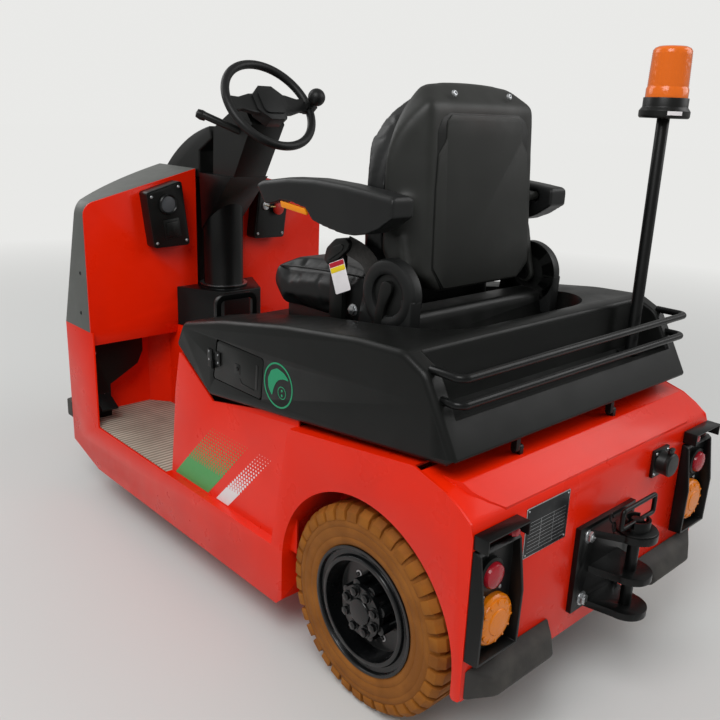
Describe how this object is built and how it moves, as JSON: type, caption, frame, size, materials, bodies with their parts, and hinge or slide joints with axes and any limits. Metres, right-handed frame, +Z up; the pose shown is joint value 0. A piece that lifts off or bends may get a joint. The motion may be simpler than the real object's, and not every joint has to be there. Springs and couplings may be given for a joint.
{
  "type": "electric tow tractor",
  "caption": "Sit-on three-wheeled electric tow tractor with open foot-well, seat on a lifting battery cover, beacon and pin hitch.",
  "frame": {"origin": "centre of the bounding box on the ground", "axes": "+Z up, the front faces -Y, the vehicle's left is +X"},
  "size_m": [0.906, 1.948, 1.41],
  "materials": {
    "red_paint": "smooth red gloss enamel",
    "floor_rubber": "worn ribbed floor mat",
    "bumper_rubber": "matt black rubber",
    "grey_cowl": "grey moulded plastic",
    "black_plastic": "matt black plastic",
    "lamp_glass": "clear lamp lens",
    "black_metal": "satin black powder coat",
    "grip_plastic": "soft black grip",
    "cover_plastic": "anthracite grained plastic",
    "slide_steel": "bare steel rail",
    "seat_vinyl": "dark vinyl upholstery",
    "shell_plastic": "textured seat shell",
    "beacon_orange": "clear orange lens",
    "red_lens": "red lamp lens",
    "amber_lens": "amber lamp lens",
    "cast_black": "painted casting",
    "battery_case": "battery tray enamel",
    "brown_tyre": "brown solid tyre compound",
    "rim_black": "gloss black rim"
  },
  "bodies": {
    "body": {"side_panel_left": "red_paint", "side_panel_right": "red_paint", "nose_body": "red_paint", "dashboard": "red_paint", "floor_pan": "red_paint", "floor_mat": "floor_rubber", "chassis": "red_paint", "rear_body": "red_paint", "rubber_bumpers": "bumper_rubber", "front_cowl": "grey_cowl", "column_hood": "black_plastic", "headlamps": "lamp_glass", "instrument_boxes": "black_plastic", "pedal_frame": "black_metal", "column_pedestal": "black_metal", "steering_column": "black_metal", "steering_console": "black_plastic", "column_stalks": "black_plastic", "lamp_guards": "black_metal", "stop_lenses": "red_lens", "turn_lenses": "amber_lens", "trailer_socket": "black_plastic", "hinge_brackets": "black_metal", "hitch_frame": "black_metal", "rear_axle": "cast_black", "battery_block": "battery_case"},
    "rear_wheel_left": {"rear_tyre_left": "brown_tyre", "rear_rim_left": "rim_black"},
    "rear_wheel_right": {"rear_tyre_right": "brown_tyre", "rear_rim_right": "rim_black"},
    "steer_fork": {"front_fork": "cast_black"},
    "front_wheel": {"front_tyre": "brown_tyre", "front_rim": "rim_black"},
    "steering_wheel": {"steering_wheel": "grip_plastic"},
    "cover": {"battery_cover": "cover_plastic", "cover_rails": "black_metal", "seat_slide": "slide_steel", "beacon_pole": "black_metal", "beacon_base": "black_plastic", "beacon_lens": "beacon_orange"},
    "hatch": {"cover_hatch": "cover_plastic"},
    "seat": {"seat_frame": "black_metal", "seat_cushion": "seat_vinyl", "belt_buckle": "black_plastic"},
    "backrest": {"seat_back_shell": "shell_plastic", "seat_back_pad": "seat_vinyl"},
    "armrest_left": {"armrest_left": "seat_vinyl"},
    "armrest_right": {"armrest_right": "seat_vinyl"},
    "hitch_pin": {"hitch_pin": "black_metal"}
  },
  "joints": [
    {"name": "rear_wheel_left_spin", "type": "hinge", "parent": "body", "child": "rear_wheel_left", "pos_m": [0.384, 0.566, 0.233], "axis": [1, 0, 0], "continuous": true},
    {"name": "rear_wheel_right_spin", "type": "hinge", "parent": "body", "child": "rear_wheel_right", "pos_m": [-0.384, 0.566, 0.233], "axis": [1, 0, 0], "continuous": true},
    {"name": "steer", "type": "hinge", "parent": "body", "child": "steer_fork", "pos_m": [0, -0.734, 0.3], "axis": [0, 0, 1], "range_deg": [-75, 75]},
    {"name": "front_wheel_spin", "type": "hinge", "parent": "steer_fork", "child": "front_wheel", "pos_m": [0, -0.734, 0.15], "axis": [1, 0, 0], "continuous": true},
    {"name": "steering_wheel_turn", "type": "hinge", "parent": "body", "child": "steering_wheel", "pos_m": [0, -0.369, 1.256], "axis": [0, 0.788, 0.6157], "range_deg": [-450, 450]},
    {"name": "cover_lift", "type": "hinge", "parent": "body", "child": "cover", "pos_m": [0, 0.771, 0.624], "axis": [-1, 0, 0], "range_deg": [0, 50]},
    {"name": "hatch_door", "type": "hinge", "parent": "cover", "child": "hatch", "pos_m": [0.4445, 0.002, 0.654], "axis": [0, 0, -1], "range_deg": [0, 100]},
    {"name": "seat_slide", "type": "slide", "parent": "cover", "child": "seat", "axis": [0, -1, 0], "range_m": [-0.05, 0.06]},
    {"name": "backrest_tilt", "type": "hinge", "parent": "seat", "child": "backrest", "pos_m": [0, 0.423, 0.87], "axis": [-1, 0, 0], "range_deg": [-5, 18]},
    {"name": "armrest_left_fold", "type": "hinge", "parent": "backrest", "child": "armrest_left", "pos_m": [0.25, 0.416, 1.062], "axis": [-1, 0, 0], "range_deg": [0, 80]},
    {"name": "armrest_right_fold", "type": "hinge", "parent": "backrest", "child": "armrest_right", "pos_m": [-0.25, 0.416, 1.062], "axis": [-1, 0, 0], "range_deg": [0, 80]},
    {"name": "hitch_pin_lift", "type": "slide", "parent": "body", "child": "hitch_pin", "axis": [0, 0, 1], "range_m": [0, 0.19]}
  ],
  "couplings": [
    {"joint": "steering_wheel_turn", "follows": "steer", "ratio": 6}
  ]
}
